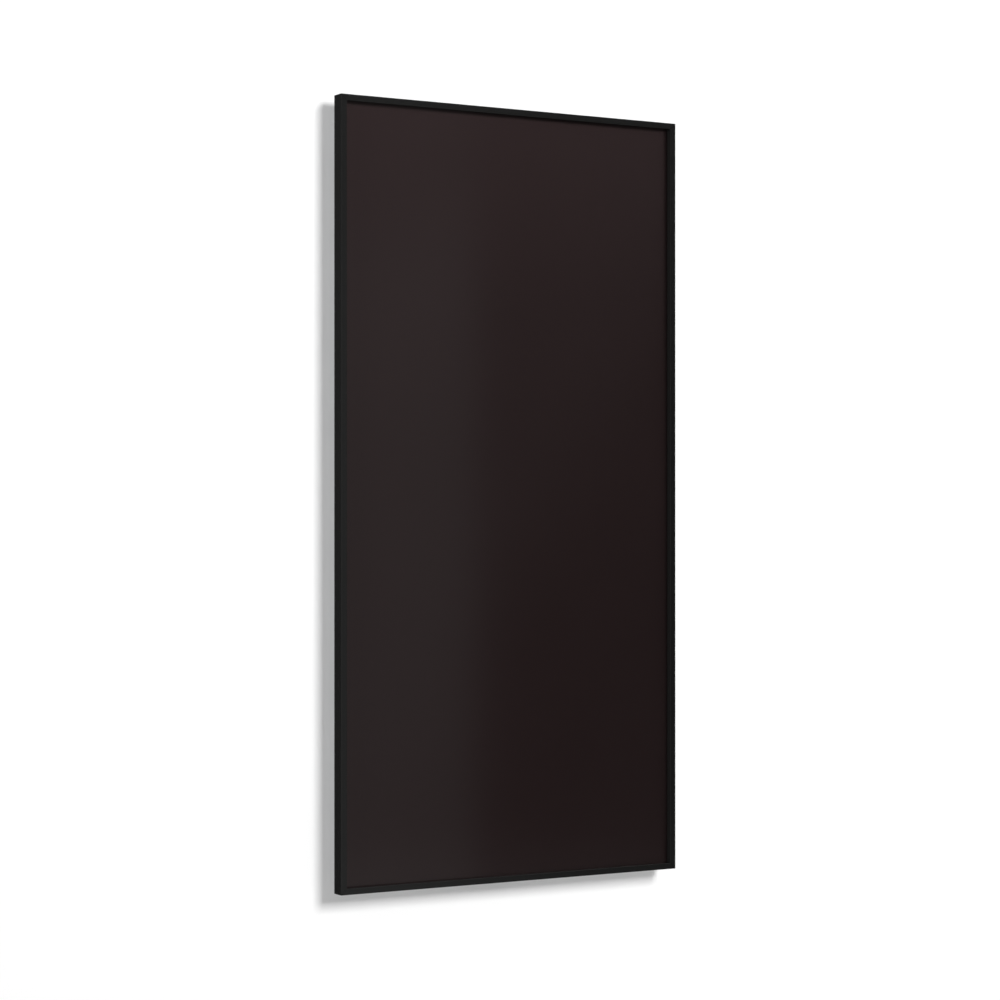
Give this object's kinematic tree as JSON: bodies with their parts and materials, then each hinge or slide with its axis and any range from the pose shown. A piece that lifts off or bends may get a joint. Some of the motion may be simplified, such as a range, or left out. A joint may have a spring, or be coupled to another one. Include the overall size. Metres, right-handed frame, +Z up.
{
  "type": "infrared panel heater",
  "caption": "Wall-hung infrared panel heater: slim mitred frame round a recessed radiating plate, steel rear tray with junction box, hung on two wall rails.",
  "frame": {"origin": "in the wall plane, at the centre of the four slots for the wall screws", "axes": "+X to the right and +Z up, seen from the front; +Y back into the wall, so the panel faces -Y"},
  "size_m": [0.6, 0.048, 1.2],
  "materials": {
    "frame_paint": "satin",
    "plate_coating": "satin",
    "galvanised_steel": "satin",
    "hanger_steel": "satin",
    "rail_steel": "satin",
    "zinc_plate": "satin",
    "key_zinc": "matte",
    "rivet_aluminium": "satin",
    "foam_tape": "matte",
    "heating_laminate": "matte",
    "copper": "satin",
    "tinned_copper": "satin",
    "foil": "gloss",
    "mineral_board": "matte",
    "box_plastic": "matte",
    "soft_rubber": "matte",
    "terminal_plastic": "satin",
    "lead_silicone": "satin",
    "earth_silicone": "satin",
    "cutout_metal": "satin"
  },
  "bodies": {
    "wall_rails": {"wall_rail_top": "rail_steel", "wall_rail_bottom": "rail_steel"},
    "heater": {"frame_left": "frame_paint", "frame_right": "frame_paint", "frame_top": "frame_paint", "frame_bottom": "frame_paint", "radiating_plate": "plate_coating", "corner_keys": "key_zinc", "plate_tape": "foam_tape", "heating_mat": "heating_laminate", "bus_bars": "copper", "reflector_foil": "foil", "insulation_board": "mineral_board", "thermal_cutout": "cutout_metal", "internal_leads": "lead_silicone", "lead_bushings": "soft_rubber", "rear_cover": "galvanised_steel", "rear_cover_screws": "zinc_plate", "hanger_top_left": "hanger_steel", "hanger_top_right": "hanger_steel", "hanger_bottom_left": "hanger_steel", "hanger_bottom_right": "hanger_steel", "hanger_rivets": "rivet_aluminium", "junction_box_base": "box_plastic", "junction_box_gasket": "soft_rubber", "junction_box_lid": "box_plastic", "junction_box_screws": "zinc_plate", "junction_box_rivets": "rivet_aluminium", "terminal_block": "terminal_plastic", "terminal_screws": "zinc_plate", "earth_lead": "earth_silicone", "earth_tag": "tinned_copper", "earth_screw": "zinc_plate", "cable_grommet": "soft_rubber"}
  },
  "joints": [
    {"name": "lift_off", "type": "slide", "parent": "wall_rails", "child": "heater", "axis": [0, 0, 1], "range_m": [0, 0.012]}
  ]
}
